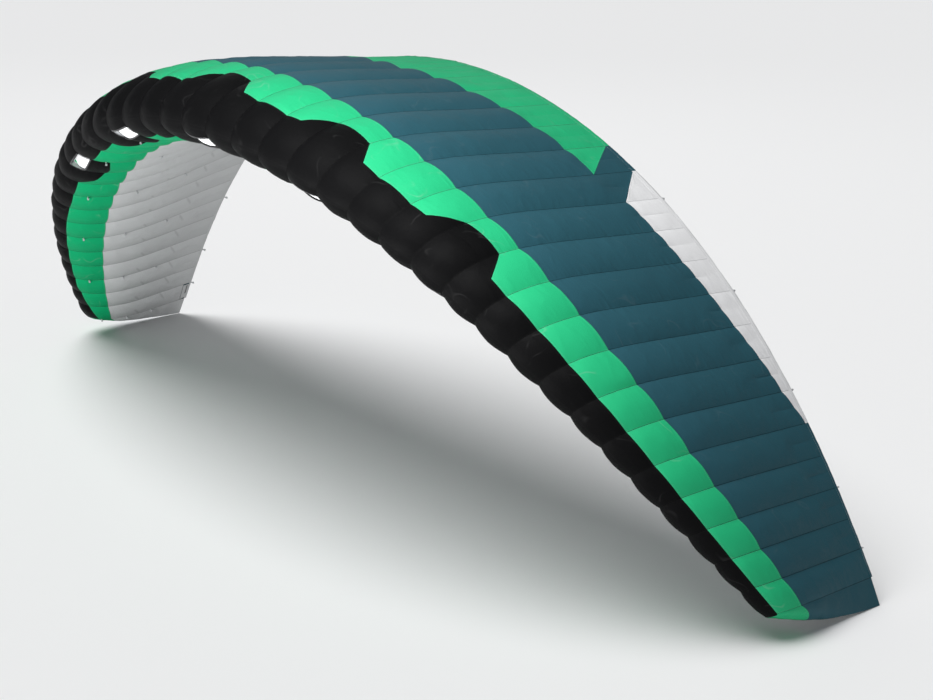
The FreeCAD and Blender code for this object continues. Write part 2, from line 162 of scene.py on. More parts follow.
def bulgeAt(cell, across, v):
    one = 4.0 * across * (1.0 - across)
    half = np.mod(2.0 * across, 1.0)
    two = 2.0 * half * (1.0 - half)
    pinch = smooth(v, kite["pinchFront"], kite["pinchFull"]) * (np.abs(cell) < kite["drainCell"])
    return kite["billow"] * (1.0 - v ** 6) * (one + (two - one) * pinch), pinch


noiseTable = rng.random((512, 512)) * 2.0 - 1.0


def noise(x, y, seed=0):
    # smooth random relief between -1 and 1, one bump per unit
    xi, yi = np.floor(x).astype(int), np.floor(y).astype(int)
    fx, fy = x - xi, y - yi
    fx, fy = fx * fx * (3.0 - 2.0 * fx), fy * fy * (3.0 - 2.0 * fy)
    xi, yi = xi + seed * 37, yi + seed * 91

    def corner(a, b):
        return noiseTable[np.mod(xi + a, 512), np.mod(yi + b, 512)]

    near = corner(0, 0) * (1.0 - fx) + corner(1, 0) * fx
    far = corner(0, 1) * (1.0 - fx) + corner(1, 1) * fx
    return near * (1.0 - fy) + far * fy


relief = {
    "pucker": 0.0021, "puckerLong": 0.020, "puckerStep": 0.024,     # gathers along the rib seams
    "soft": 0.0024, "softStep": 0.16,                              # slow unevenness of the cloth
    "crease": 0.0013, "creaseStep": 0.085,                         # thin soft folds
    "drag": 0.0026, "dragStep": 0.055,                             # folds that pull across the cell
    "lap": 0.0009, "lapAt": 0.006, "lapWide": 0.0035,              # seams between two colours
    "grip": 0.004, "free": 0.03, "edge": 0.0010, "calm": 0.05,     # how fast it all starts
}


def reliefAt(c, arc, upper, pinch, lapDistance):
    # small lifts of the cloth over its smooth bulge, none of them at a seam itself
    cell, across, width, share = cellOf(c)
    r = relief
    near = np.minimum(across, 1.0 - across) * width
    rib = np.where(across < 0.5, cell, cell + 1.0)
    turn = 11 if upper else 23
    grip = 1.0 - np.exp(-near / r["grip"])
    step = arc / r["puckerStep"]
    gather = noise(step, rib * 7.3 + 3.1, turn) + 0.5 * noise(step * 1.9, rib * 5.1, turn + 1)
    reach = r["puckerLong"] * (1.0 + 0.6 * noise(arc / 0.09, rib * 3.7, turn + 2))
    lift = r["pucker"] * gather * np.exp(-near / reach) * grip
    free = grip * (1.0 - np.exp(-near / r["free"]))
    lift = lift + r["soft"] * noise(arc / r["softStep"], c * 1.7, turn + 3) * free
    lift = lift + 0.6 * r["soft"] * noise(arc / (0.4 * r["softStep"]), c * 3.1 + arc * 2.0, turn + 4) * free
    slant = arc / r["creaseStep"] + 1.6 * across * np.where(noise(cell * 1.31, arc / 0.5, 5) > 0, 1.0, -1.0)
    fold = 1.0 - np.abs(noise(slant, cell * 4.7 + across * 1.2, turn + 5))
    lift = lift + r["crease"] * (fold ** 6 - 0.25) * free
    pull = 1.0 - np.abs(noise(arc / r["dragStep"] + 0.8 * across, cell * 2.3 + across * 0.7, turn + 6))
    lift = lift + r["drag"] * (pull ** 9) * np.exp(-np.abs(near - 0.035) / 0.03) * free
    # the same gathers beside the short ribs' seam half way across
    middle = np.abs(across - 0.5) * width
    gripTwo = 1.0 - np.exp(-middle / r["grip"])
    small = noise(step, cell * 9.7 + 1.3, turn + 7) * np.exp(-middle / 0.012) * gripTwo
    lift = lift * (1.0 + pinch * (gripTwo - 1.0)) + 0.7 * r["pucker"] * small * pinch
    # and a lap along each seam between colours
    lift = lift + r["lap"] * np.exp(-((lapDistance - r["lapAt"]) / r["lapWide"]) ** 2) * grip
    edge = noise(c * 9.0, np.zeros_like(arc), turn + 8) * np.exp(-lapDistance / 0.014)
    lift = lift + r["edge"] * edge * (1.0 - np.exp(-lapDistance / 0.003)) * grip
    # upper and lower cloth run into each other at the nose
    return lift * smooth(arc, 0.0, r["calm"])


def surface(c, v, upper, lift=0.0, lapDistance=1.0, detail=True):
    angle = angleOf(v, upper)
    cell, across, width, share = cellOf(c)
    bulge, pinch = bulgeAt(cell, across, v)
    slack = bulge * width
    if detail:
        slack = slack + reliefAt(c, chordAt(share) * runOf(v), upper, pinch, lapDistance)
    if not upper:
        # the cloth lies straight across where a drain flap turns
        straight = smooth(v, kite["drainFront"], kite["drainFull"])
        slack = slack * (1.0 - straight * (np.abs(cell) == kite["drainCell"]))
    return onOutline(share, angle, lift + slack)


def runOf(v):
    # length of the outline from the nose, as a share of the chord, and its inverse below
    return np.sqrt(v * v + kite["noseRun"] * v)


def vOf(run):
    return (-kite["noseRun"] + np.sqrt(kite["noseRun"] ** 2 + 4.0 * run * run)) / 2.0


# The frame's own box gives where the canopy stands.
shift = (0.0, 0.0)
crownC = np.linspace(-0.5, 0.5, 41)
crownV = np.linspace(0.0, 0.7, 1401)[:, None]
crown = surface(crownC[None, :], crownV, True, detail=False)
shift = (
    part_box("upper_nose_panels")[0].y - crown[..., 1].min(),
    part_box("upper_main_panels_centre")[1].z - crown[..., 2].max(),
)
print("canopy stands at", shift)


def makeMesh(name, points, faces, uvs=None):
    points = np.asarray(points, np.float32).reshape(-1, 3)
    faces = np.asarray(faces, np.int32)
    mesh = bpy.data.meshes.new(name)
    mesh.vertices.add(len(points))
    mesh.vertices.foreach_set("co", points.ravel())
    corners = faces.shape[1]
    mesh.loops.add(faces.size)
    mesh.loops.foreach_set("vertex_index", faces.ravel())
    mesh.polygons.add(len(faces))
    mesh.polygons.foreach_set("loop_start", np.arange(0, faces.size, corners, dtype=np.int32))
    mesh.update(calc_edges=True)
    mesh.polygons.foreach_set("use_smooth", np.ones(len(faces), bool))
    for layer, values in (uvs or {}).items():
        made = mesh.uv_layers.new(name=layer)
        made.data.foreach_set("uv", np.asarray(values, np.float32).ravel())
    mesh.validate()
    piece = bpy.data.objects.new(name, mesh)
    bpy.context.scene.collection.objects.link(piece)
    return piece


def meshArea(piece):
    mesh = piece.data
    co = np.zeros(len(mesh.vertices) * 3)
    mesh.vertices.foreach_get("co", co)
    co = co.reshape(-1, 3)
    mesh.calc_loop_triangles()
    tri = np.zeros(len(mesh.loop_triangles) * 3, np.int32)
    mesh.loop_triangles.foreach_get("vertices", tri)
    a, b, c = co[tri.reshape(-1, 3)].transpose(1, 0, 2)
    return float(0.5 * np.linalg.norm(np.cross(b - a, c - a), axis=1).sum())


def dress(piece, material, body, nodes=()):
    piece.data.materials.append(material)
    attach(piece, body)
    if nodes:
        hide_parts(*nodes)


def uvSet(across, along, toSide=0.05, toEnd=0.05):
    # what the cloth finishes read: metres along the cloth, then the distances to its seams
    zeros = np.zeros_like(across)
    return {
        "cloth": np.stack([across, along], axis=-1),
        "edges": np.stack([zeros + toSide, zeros + toEnd], axis=-1),
        "marks": np.stack([zeros, zeros + 0.5], axis=-1),
    }


def gridFaces(rows, columns, closed=False):
    # quads of a grid stored row by row; closed joins the last column to the first
    last = columns if closed else columns - 1
    r, k = np.meshgrid(np.arange(rows - 1), np.arange(last), indexing="ij")
    nextK = (k + 1) % columns
    near, far = r * columns, (r + 1) * columns
    return np.stack([near + k, near + nextK, far + nextK, far + k], axis=-1).reshape(-1, 4)


cloth = {"acrossSteps": 16, "rowStep": 0.0062, "crowd": 0.80, "cutShare": 0.985}


def columnsFor(first, last):
    # rib coordinates of the columns from one rib to another, close together at the seams
    n = cloth["acrossSteps"]
    t = np.arange(n) / n
    inCell = t - cloth["crowd"] * np.sin(4.0 * np.pi * t) / (4.0 * np.pi)
    cells = np.arange(int(first + 0.5), int(last + 0.5))
    return np.concatenate([(cells[:, None] - 0.5 + inCell[None, :]).ravel(), [last]])


def zone(name, first, last, breaks, upper, skip=None):
    # One sheet of the skin. Breaks are functions of c that give v, in the order that the
    # angle grows, and skip names the stretch and cells that stay open.
    c = columnsFor(first, last)
    n = cloth["acrossSteps"]
    cell, across, width, share = cellOf(c)
    chord = chordAt(share)
    runs = [runOf(np.clip(b(c), 0.0, kite["tailEnd"])) for b in breaks]
    rows, owner = [runs[0]], []
    for k in range(len(runs) - 1):
        longest = np.max(np.abs(runs[k + 1] - runs[k]) * chord)
        count = max(2, int(math.ceil(longest / cloth["rowStep"])))
        for j in range(1, count + 1):
            rows.append(runs[k] + (runs[k + 1] - runs[k]) * j / count)
            owner.append(k)
    run = np.array(rows)
    grid = np.broadcast_to(c, run.shape)
    toStart = np.abs(run - runs[0]) * chord
    toEnd = np.abs(run - runs[-1]) * chord
    lapDistance = np.minimum(toStart, toEnd)
    lapDistance = np.where(run < 1e-6, 0.5, lapDistance)
    points = surface(grid, vOf(run), upper, 0.0, lapDistance)
    faces = gridFaces(*run.shape)
    rowOf, columnOf = np.divmod(np.arange(len(faces)), len(c) - 1)
    keep = np.ones(len(faces), bool)
    if skip:
        stretch, cells = skip
        faceCell = np.round(0.5 * (c[columnOf] + c[columnOf + 1]))
        keep = ~((np.array(owner)[rowOf] == stretch) & np.isin(faceCell, cells))
    # drop quads that have closed up to nothing
    drop = np.abs(run[rowOf + 1] - run[rowOf])
    size = np.maximum(drop[np.arange(len(faces)), columnOf], drop[np.arange(len(faces)), columnOf + 1])
    keep &= size * 1.5 > 1e-6
    # metres along the cloth, with the cell's number before the point; then distances to seams
    leftCell = columnOf // n
    faceWidth = width[np.minimum(columnOf + n // 2 - columnOf % n, len(c) - 2)]
    leftAcross = (c - c[0])[columnOf] - leftCell
    rightAcross = (c - c[0])[columnOf + 1] - leftCell
    flat = run * chord
    local = np.stack([leftAcross, rightAcross, rightAcross, leftAcross], axis=1) * faceWidth[:, None]
    rowIndex = np.stack([rowOf, rowOf, rowOf + 1, rowOf + 1], axis=1)
    columnIndex = np.stack([columnOf, columnOf + 1, columnOf + 1, columnOf], axis=1)
    uvCloth = np.stack([local + leftCell[:, None] + 1.0, flat[rowIndex, columnIndex]], axis=-1)
    toRib = np.minimum(local, faceWidth[:, None] - local)
    uvEdges = np.stack([toRib, lapDistance[rowIndex, columnIndex]], axis=-1)
    mark = markAt(grid, vOf(run), upper)
    uvMarks = np.stack([mark[0][rowIndex, columnIndex], mark[1][rowIndex, columnIndex]], axis=-1)
    uvs = {"cloth": uvCloth[keep], "edges": uvEdges[keep], "marks": uvMarks[keep]}
    piece = makeMesh(name, points, faces[keep], uvs)
    used = np.unique(faces[keep])
    if len(used) < points.shape[0] * points.shape[1]:
        loose(piece)
    return piece


def loose(piece):
    # takes away vertices that no face uses
    work = bmesh.new()
    work.from_mesh(piece.data)
    bmesh.ops.delete(work, geom=[v for v in work.verts if not v.link_faces], context="VERTS")
    work.to_mesh(piece.data)
    work.free()


strokes = {"at": ((0.72, 0.78), (0.47, 0.24)), "jitter": 0.035, "long": 0.040, "wide": 0.0075}


def markAt(c, v, upper):
    # first, short grey strokes on the lower skin, two in each cell; second, the place across the cell
    cell, across, width, share = cellOf(c)
    first = np.zeros_like(v)
    if not upper:
        chord = chordAt(share)
        for centre, side in strokes["at"]:
            jitter = strokes["jitter"] * noise(cell * 3.3, cell * 0.0 + centre * 9.0, 3)
            d = (v - centre - jitter) * chord
            e = (across - side) * width
            slant = d * 0.86 + e * 0.5
            other = -d * 0.5 + e * 0.86
            stroke = np.exp(-(slant / strokes["wide"]) ** 4 - (other / strokes["long"]) ** 6)
            first = np.maximum(first, stroke)
    return first, across


class Signal:
    # One output of a shader node. Sums and products of signals add the nodes that they need.
    def __init__(self, tree, socket):
        self.tree = tree
        self.socket = socket

    def node(self, kind, settings=None, values=None, output=0):
        made = self.tree.nodes.new(kind)
        for key, value in (settings or {}).items():
            setattr(made, key, value)
        for key, value in (values or {}).items():
            if isinstance(value, Signal):
                self.tree.links.new(value.socket, made.inputs[key])
            else:
                made.inputs[key].default_value = value
        return Signal(self.tree, made.outputs[output])

    def maths(self, operation, a, b=0.0):
        return self.node("ShaderNodeMath", {"operation": operation}, {0: a, 1: b})

    def __add__(self, other):
        return self.maths("ADD", self, other)

    def __radd__(self, other):
        return self.maths("ADD", other, self)

    def __sub__(self, other):
        return self.maths("SUBTRACT", self, other)

    def __rsub__(self, other):
        return self.maths("SUBTRACT", other, self)

    def __mul__(self, other):
        return self.maths("MULTIPLY", self, other)

    def __rmul__(self, other):
        return self.maths("MULTIPLY", other, self)

    def __truediv__(self, other):
        return self.maths("DIVIDE", self, other)

    def __rtruediv__(self, other):
        return self.maths("DIVIDE", other, self)

    def above(self, limit):
        return self.maths("GREATER_THAN", self, limit)

    def below(self, limit):
        return self.maths("LESS_THAN", self, limit)

    def between(self, start, end):
        return self.above(start) * self.below(end)

    def part(self):
        return self.maths("FRACT", self)

    def whole(self):
        return self.maths("FLOOR", self)

    def ramp(self, start, end, low=0.0, high=1.0):
        values = {0: self, 1: start, 2: end, 3: low, 4: high}
        return self.node("ShaderNodeMapRange", {"interpolation_type": "SMOOTHSTEP"}, values)

    def mix(self, a, b):
        # a colour or signal at 0, another at 1
        a = a + (1.0,) if isinstance(a, tuple) else a
        b = b + (1.0,) if isinstance(b, tuple) else b
        return self.node("ShaderNodeMix", {"data_type": "RGBA"}, {0: self, 6: a, 7: b}, 2)

    def noise(self, scale, detail=2.0, rough=0.5):
        values = {"Vector": self, "Scale": scale, "Detail": detail, "Roughness": rough}
        return self.node("ShaderNodeTexNoise", {}, values)

    def split(self):
        return [self.node("ShaderNodeSeparateXYZ", {}, {0: self}, k) for k in range(3)]


def newMaterial(name):
    material = bpy.data.materials.new(name)
    material.use_nodes = True
    tree = material.node_tree
    shader = next(n for n in tree.nodes if n.type == "BSDF_PRINCIPLED")
    return material, Signal(tree, None), shader


def finishMaterial(start, shader, links, constants):
    for key, value in links.items():
        start.tree.links.new(value.socket, shader.inputs[key])
    for key, value in constants.items():
        shader.inputs[key].default_value = value


def clothMaterial(name, look):
    material, start, shader = newMaterial(name)
    uv = start.node("ShaderNodeUVMap", {"uv_map": "cloth"})
    x, y, none = uv.split()
    toRib, toEdge, none = start.node("ShaderNodeUVMap", {"uv_map": "edges"}).split()
    mark, across, none = start.node("ShaderNodeUVMap", {"uv_map": "marks"}).split()
    panel = x.whole()
    local = x - panel
    # slow and fine unevenness of the dye, and each panel a little different
    dye = uv.noise(2.3, 3.0)
    speck = uv.noise(85.0, 2.0)
    odd = start.node("ShaderNodeTexWhiteNoise", {"noise_dimensions": "1D"}, {"W": panel})
    level = 1.0 + (dye - 0.5) * look["dye"] + (speck - 0.5) * 0.05 + (odd - 0.5) * look["panels"]
    # painted shade: each cell lighter on one side and darker on the other, as its billow would be lit
    level = level + (across - 0.5) * look["oneSide"]
    # the reinforcing threads of the cloth, every five millimetres
    gridX = (local * 200.0).part().above(0.90)
    gridY = (y * 200.0).part().above(0.90)
    threads = start.maths("MAXIMUM", gridX, gridY)
    level = level + threads * look["threads"]
    # folds from packing leave pale lines
    fold = start.maths("ABSOLUTE", uv.noise(3.1, 2.0, 0.55) - 0.5)
    crease = fold.ramp(0.0, 0.012, 1.0, 0.0) * uv.noise(7.0, 2.0).ramp(0.48, 0.66)
    # needle rows and the dark line of each seam
    dash = (y / 0.0034).part().below(0.62)
    ribStitch = toRib.between(0.0022, 0.0030) * dash
    ribLine = toRib.ramp(0.0004, 0.0024, 1.0, 0.0)
    across2 = (local / 0.0034).part().below(0.62)
    rows = start.maths("MAXIMUM", toEdge.between(0.0028, 0.0036), toEdge.between(0.0082, 0.0090))
    edgeStitch = rows * across2
    edgeLine = toEdge.ramp(0.0004, 0.0020, 1.0, 0.0)
    stitches = start.maths("MAXIMUM", ribStitch, edgeStitch)
    base = tuple(look["colour"])
    shade = tuple(v * look["seamShade"] for v in base)
    worn = tuple(v + (look["wornTo"] - v) * look["wear"] for v in base)
    colour = crease.mix(base, worn)
    colour = (mark * look["mark"]).mix(colour, look["markColour"])
    colour = start.maths("MAXIMUM", ribLine, edgeLine * 0.6).mix(colour, shade)
    colour = (stitches * 0.55).mix(colour, look["thread"])
    tint = start.node("ShaderNodeCombineXYZ", {}, {0: level, 1: level, 2: level})
    colour = start.node("ShaderNodeVectorMath", {"operation": "MULTIPLY"}, {0: colour, 1: tint})
    rough = look["roughness"] + (dye - 0.5) * 0.16 + crease * 0.12 - threads * 0.04 + stitches * 0.2
    # weave, threads and stitches stand up a little
    weave = start.maths("SINE", local * 6283.0) * start.maths("SINE", y * 6283.0)
    height = weave * 0.05 + threads * 0.22 + stitches * 0.9 + crease * 0.8 + uv.noise(46.0, 3.0) * 0.9
    height = height + uv.noise(14.0, 3.0, 0.6) * 2.2
    normal = start.node("ShaderNodeBump", {}, {"Strength": 0.45, "Distance": 0.0011, "Height": height})
    links = {"Base Color": colour, "Roughness": rough, "Normal": normal}
    constants = {"Specular IOR Level": look["shine"]}
    # painted light: emission makes the cloth glow though it is no lamp
    if look["glow"]:
        constants["Emission Color"] = look["colour"] + (1.0,)
        constants["Emission Strength"] = look["glow"]
    finishMaterial(start, shader, links, constants)
    return material


clothLook = {
    "dye": 0.12, "panels": 0.06, "oneSide": 0.0, "threads": 0.05, "seamShade": 0.35, "wear": 0.10, "wornTo": 0.6,
    "mark": 0.0, "markColour": (0.2, 0.2, 0.2), "thread": (0.1, 0.1, 0.1), "roughness": 0.52,
    "shine": 0.10, "glow": 0.0,
}
blackCloth = clothMaterial("blackCloth", {
    **clothLook, "colour": colours["black"], "wear": 0.02, "thread": (0.03, 0.03, 0.03),
    "roughness": 0.5, "shine": 0.035, "threads": 0.16,
})
greenCloth = clothMaterial("greenCloth", {
    **clothLook, "colour": colours["green"], "thread": (0.30, 0.70, 0.52), "seamShade": 0.30,
})
petrolCloth = clothMaterial("petrolCloth", {
    **clothLook, "colour": colours["petrol"], "thread": (0.03, 0.09, 0.115), "wear": 0.03, "seamShade": 0.30,
})
whiteCloth = clothMaterial("whiteCloth", {
    **clothLook, "colour": colours["white"], "thread": (0.70, 0.71, 0.72), "seamShade": 0.62,
    "wear": 0.05, "dye": 0.05, "panels": 0.03,
})
paleCloth = clothMaterial("paleCloth", {
    **clothLook, "colour": colours["pale"], "thread": (0.45, 0.45, 0.46), "seamShade": 0.45,
    "oneSide": 0.16, "mark": 0.40, "markColour": (0.26, 0.26, 0.265), "dye": 0.07,
})
# painted shade: a darker copy of the green cloth for the lower band and the tips' lower side
lowerGreen = clothMaterial("lowerGreenCloth", {
    **clothLook, "colour": colours["lowerGreen"], "shine": 0.03, "thread": (0.2, 0.5, 0.35),
    "seamShade": 0.34, "oneSide": 0.16, "mark": 0.3, "markColour": (0.004, 0.10, 0.05),
})
# painted light: the valves glow a little, standing in for the daylight that the cell lets through
valveCloth = clothMaterial("valveCloth", {
    **clothLook, "colour": colours["valve"], "thread": (0.7, 0.7, 0.7), "seamShade": 0.85,
    "dye": 0.04, "panels": 0.0, "roughness": 0.55, "glow": 0.36,
})


def webMaterial(name, look):
    # woven tape or webbing: ribs across, fine twill, worn edges
    material, start, shader = newMaterial(name)
    point = start.node("ShaderNodeTexCoord", {}, {}, "Object")
    px, py, pz = point.split()
    twill = start.maths("SINE", (px + py) * look["twill"])
    twill = twill * start.maths("SINE", (pz - py) * look["twill"])
    fuzz = point.noise(320.0, 3.0)
    spots = point.noise(9.0, 3.0)
    base = tuple(look["colour"])
    pale = tuple(v * 1.5 + 0.01 for v in base)
    colour = (fuzz * 0.6 + twill * 0.2).mix(base, pale)
    colour = spots.ramp(0.55, 0.8, 0.0, 0.35).mix(colour, tuple(v * 0.8 + 0.01 for v in base))
    normal = start.node("ShaderNodeBump", {}, {"Strength": 0.5, "Distance": 0.0004, "Height": twill + fuzz})
    links = {"Base Color": colour, "Roughness": 0.62 + (fuzz - 0.5) * 0.2, "Normal": normal}
    finishMaterial(start, shader, links, {"Sheen Weight": look["sheen"]})
    return material


tapeCloth = webMaterial("tapeWeave", {"colour": colours["tape"], "twill": 2600.0, "sheen": 0.2})
paleWebbing = webMaterial("paleWebbingWeave", {"colour": (0.42, 0.43, 0.44), "twill": 2100.0, "sheen": 0.2})
threadPale = webMaterial("threadPale", {"colour": (0.45, 0.46, 0.46), "twill": 9000.0, "sheen": 0.1})
threadDark = webMaterial("threadDark", {"colour": (0.03, 0.03, 0.03), "twill": 9000.0, "sheen": 0.1})
hookLoop = webMaterial("hookLoopPile", {"colour": (0.04, 0.04, 0.04), "twill": 3800.0, "sheen": 0.5})
ribCloth = webMaterial("ribCloth", {"colour": (0.62, 0.63, 0.64), "twill": 1250.0, "sheen": 0.1})
print("materials ready")

# where the colours meet, as shares of the chord
intakes = {
    "cells": (-8, -4, 0, 4, 8), "words": ("left_outer", "left_inner", "centre", "right_inner", "right_outer"),
    "start": 0.012, "end": 0.050,
}


def knots(table):
    # a curve through (c, v) pairs, the same on both sides
    at = np.array([k[0] for k in table])
    value = np.array([k[1] for k in table])
    return lambda c: np.interp(np.abs(c), at, value)


def upperNoseEnd(c):
    # the black rises in a tooth over each intake cell
    base = 0.089 - 0.060 * shareOf(np.abs(c)) ** 2
    v = base
    for cell in intakes["cells"]:
        away = np.abs(c - cell)
        tooth = np.interp(away, [0.5, 1.02], [1.0, 0.0])
        v = np.maximum(v, base + (0.159 - base) * tooth)
    return v


def lowerNoseEnd(c):
    # behind each intake the black runs back in a tongue that eases away outboard
    size = np.abs(c)
    stations = [0.0, 0.52, 0.61, 0.69, 0.76, 0.90, 0.96, 1.0]
    base = np.interp(shareOf(size), stations, [0.058, 0.056, 0.050, 0.036, 0.032, 0.030, 0.052, 0.088])
    v = base
    for cell in (0, 4, 8):
        ahead, rise = ([-0.62, -0.48], [0.0, 0.84]) if cell else ([], [])
        tongue = np.interp(size - cell, ahead + [0.0, 0.5, 0.9, 1.25, 1.5], rise + [1.0, 0.97, 0.66, 0.22, 0.0])
        v = np.maximum(v, base + (0.140 - base) * tongue)
    return v


def bandEnd(c):
    return 0.245 - 0.050 * shareOf(np.abs(c)) ** 2


greenStart = knots([
    (0.0, 0.712), (0.5, 0.715), (1.5, 0.740), (2.5, 0.757),
    (3.5, 0.779), (4.5, 0.795), (5.5, 0.803), (6.5, 0.810),
])
greenCut = knots([(5.5, 0.985), (6.5, 0.810)])
whiteStart = knots([
    (6.5, 0.985), (7.5, 0.832), (8.5, 0.844), (9.5, 0.856), (10.5, 0.872),
    (11.5, 0.889), (12.5, 0.918), (13.5, 0.937), (14.5, 0.985),
])


def tail(c):
    return np.full_like(c, kite["tailEnd"])


def drainHinge(c):
    return np.full_like(c, kite["drainHinge"])


def lipFront(c):
    return np.full_like(c, intakes["start"])


def lipRear(c):
    # the rear edge of the openings, which runs on between them ahead of the green
    away = np.abs(c[:, None] - np.array(intakes["cells"])[None, :]).min(axis=1)
    plain = np.minimum(lowerNoseEnd(c) * 0.72, intakes["end"])
    return plain + np.interp(away, [0.5, 0.8], [1.0, 0.0]) * (intakes["end"] - plain)


def zero(c):
    return np.zeros_like(c)


cornerLook, mainLook, paleLook = (greenCut, tail), (bandEnd, whiteStart), (tail, bandEnd)
skin = [
    # name, first and last rib, breaks, upper, material, slot, nodes that it stands for
    ("upperNose", -19.5, 19.5, (zero, upperNoseEnd), True, blackCloth, "black_cloth", ["upper_nose_panels"]),
    ("upperBand", -19.5, 19.5, (upperNoseEnd, bandEnd), True, greenCloth, "green_cloth", ["upper_band_panels"]),
    ("upperMainLeft", -19.5, -6.5, mainLook, True, petrolCloth, "petrol_cloth", ["upper_main_panels_left"]),
    ("upperMainCentre", -6.5, 6.5, (bandEnd, greenStart), True, petrolCloth, "petrol_cloth", ["upper_main_panels_centre"]),
    ("upperMainRight", 6.5, 19.5, mainLook, True, petrolCloth, "petrol_cloth", ["upper_main_panels_right"]),
    ("accentGreen", -6.5, 6.5, (greenStart, greenCut), True, greenCloth, "green_cloth", ["upper_accent_green"]),
    ("accentCornerLeft", -6.5, -5.5, cornerLook, True, petrolCloth, "petrol_cloth", []),
    ("accentCornerRight", 5.5, 6.5, cornerLook, True, petrolCloth, "petrol_cloth", []),
    ("accentWhiteLeft", -14.5, -6.5, (whiteStart, tail), True, whiteCloth, "white_cloth", ["upper_accent_white"]),
    ("accentWhiteRight", 6.5, 14.5, (whiteStart, tail), True, whiteCloth, "white_cloth", ["upper_accent_white"]),
    ("lowerNose", -19.5, 19.5, (lowerNoseEnd, lipRear, lipFront, zero), False, blackCloth, "black_cloth",
     ["lower_nose_panels", "intake_lips"]),
    ("lowerBand", -19.5, 19.5, (bandEnd, lowerNoseEnd), False, lowerGreen, "green_cloth", ["lower_band_panels"]),
    ("lowerMainLeft", -18.5, -6.5, paleLook, False, paleCloth, "pale_cloth", ["lower_main_panels_left"]),
    ("lowerMainCentre", -6.5, 6.5, paleLook, False, paleCloth, "pale_cloth", ["lower_main_panels_centre"]),
    ("lowerMainRight", 6.5, 18.5, paleLook, False, paleCloth, "pale_cloth", ["lower_main_panels_right"]),
    ("lowerDrainPanelLeft", -19.5, -18.5, (drainHinge, bandEnd), False, paleCloth, "pale_cloth", []),
    ("lowerDrainPanelRight", 18.5, 19.5, (drainHinge, bandEnd), False, paleCloth, "pale_cloth", []),
]
for name, first, last, breaks, upper, material, slot, nodes in skin:
    skip = (1, intakes["cells"]) if name == "lowerNose" else None
    piece = zone(name, first, last, breaks, upper, skip)
    dress(piece, material, "canopy", nodes)
    spanned = kite["halfSpan"] * abs(shareOf(last) - shareOf(first))
    flat = (spanned, meshArea(piece) * cloth["cutShare"] / spanned)
    print(name, len(piece.data.polygons), "faces, flat", round(flat[0], 3), "by", round(flat[1], 3))
print("skins ready")


# closed tips past the end ribs
tips = {
    "steps": 17, "rowStep": 0.0065, "rise": 2.2, "slack": 0.0022,
    "noseEnd": 0.029, "bandEnd": 0.195, "bandEdge": 0.300,     # where the colours change
}


def tipSheet(name, side, upper, start, end, material, slot):
    # closes the end rib with a half round that leaves it without a crease;
    # start and end are where the colour begins and ends, at the rib and at the tip's edge
    turn = np.linspace(0.0, math.pi / 2.0, tips["steps"])[None, :]
    w, y = np.sin(turn), np.cos(turn)
    first = runOf(start[0] + (start[1] - start[0]) * w)
    last = runOf(end[0] + (end[1] - end[0]) * w)
    length = chordAt(1.0) * float(np.mean(last - first))
    rows = max(3, int(length / tips["rowStep"]))
    share = np.linspace(0.0, 1.0, rows)[:, None]
    run = first + (last - first) * share
    v = vOf(run)
    root = onOutline(side * 1.0, angleOf(v, upper), 0.0)
    other = onOutline(side * 1.0, angleOf(v, not upper), 0.0)
    mid = 0.5 * (root + other)
    lean = leanAt(1.0)
    out = np.array([side * math.cos(lean), 0.0, -math.sin(lean)])
    reach = kite["tipReach"] * (1.0 - (1.0 - v) ** tips["rise"])
    points = mid + (root - mid) * y[..., None] + out * (reach * w)[..., None]
    half = np.linalg.norm(root - mid, axis=-1)
    arc = run * chordAt(1.0)
    slack = noise(arc / 0.07, w * 2.0 + 0.0 * arc, 61) + noise(arc / 0.03, w * 1.3 + 0.0 * arc, 62) * 0.5
    slack = tips["slack"] * slack * np.minimum(w * 5.0, 1.0) * np.minimum(half * 40.0, 1.0)
    away = (root - mid) / np.maximum(half, 1e-5)[..., None] * y[..., None] + out * w[..., None]
    points = points + away * slack[..., None]
    faces = gridFaces(rows, turn.shape[1])
    if upper == (side < 0):
        faces = faces[:, ::-1]
    flat = turn / (math.pi / 2.0) * (half + reach) * 1.2
    local = flat.ravel()[faces]
    along = arc.ravel()[faces]
    toEnd = np.minimum(arc - arc[:1], arc[-1:] - arc).ravel()[faces]
    piece = makeMesh(name, points, faces, uvSet(local + 41.0, along, local, toEnd))
    dress(piece, material, "canopy", ["tip_cap_" + ("left" if side < 0 else "right")])
    flat = (meshArea(piece) / length, length)


noseSpan = ((0.0, 0.0), (tips["noseEnd"], tips["noseEnd"]))
bandSpan = (noseSpan[1], (tips["bandEnd"], tips["bandEdge"]))
rearSpan = (bandSpan[1], (kite["tailEnd"], kite["tailEnd"]))
tipZones = [
    ("tipNoseUpper", True, noseSpan, blackCloth, "black_cloth"),
    ("tipNoseLower", False, noseSpan, blackCloth, "black_cloth"),
    ("tipGreenUpper", True, bandSpan, greenCloth, "green_cloth"),
    ("tipGreenLower", False, bandSpan, lowerGreen, "green_cloth"),
    ("tipPetrol", True, rearSpan, petrolCloth, "petrol_cloth"),
    ("tipPale", False, rearSpan, paleCloth, "pale_cloth"),
]
for side, word in ((-1, "Left"), (1, "Right")):
    for name, upper, span, material, slot in tipZones:
        tipSheet(name + word, side, upper, *span, material, slot)
print("tips ready")


def unit(a):
    return a / np.maximum(np.linalg.norm(a, axis=-1, keepdims=True), 1e-12)


